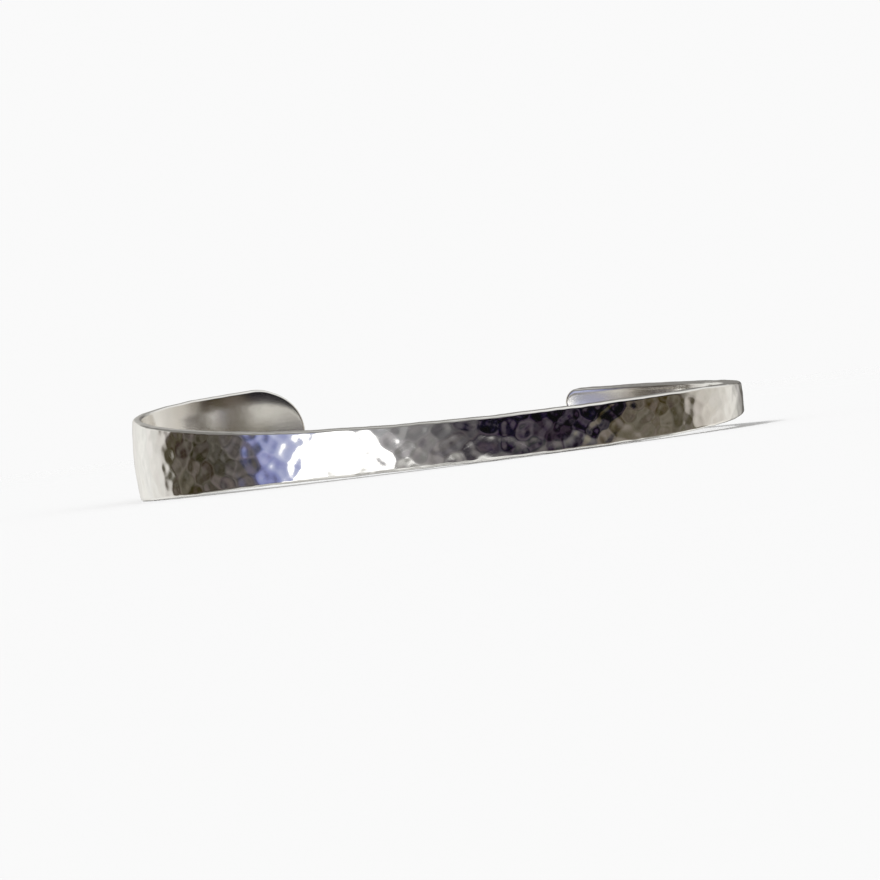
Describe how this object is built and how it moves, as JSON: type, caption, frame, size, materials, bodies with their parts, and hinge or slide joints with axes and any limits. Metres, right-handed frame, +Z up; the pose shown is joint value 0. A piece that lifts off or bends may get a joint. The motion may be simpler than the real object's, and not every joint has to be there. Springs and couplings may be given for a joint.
{
  "type": "spoon bangle",
  "caption": "Open silver cuff bangle bent from a hammered bar that tapers like a spoon handle, from a broad rounded end to a slim end.",
  "frame": {"origin": "the middle of the footprint, on the surface that the cuff's lower edge rests on", "axes": "+X across the cuff from its wide side to its narrow side, -Y towards the middle of the bar, +Y towards the opening, +Z up from the surface it lies on"},
  "size_m": [0.0676, 0.0464, 0.0107],
  "materials": {
    "silver": "polished"
  },
  "bodies": {
    "root": {"band": "silver"}
  },
  "joints": []
}
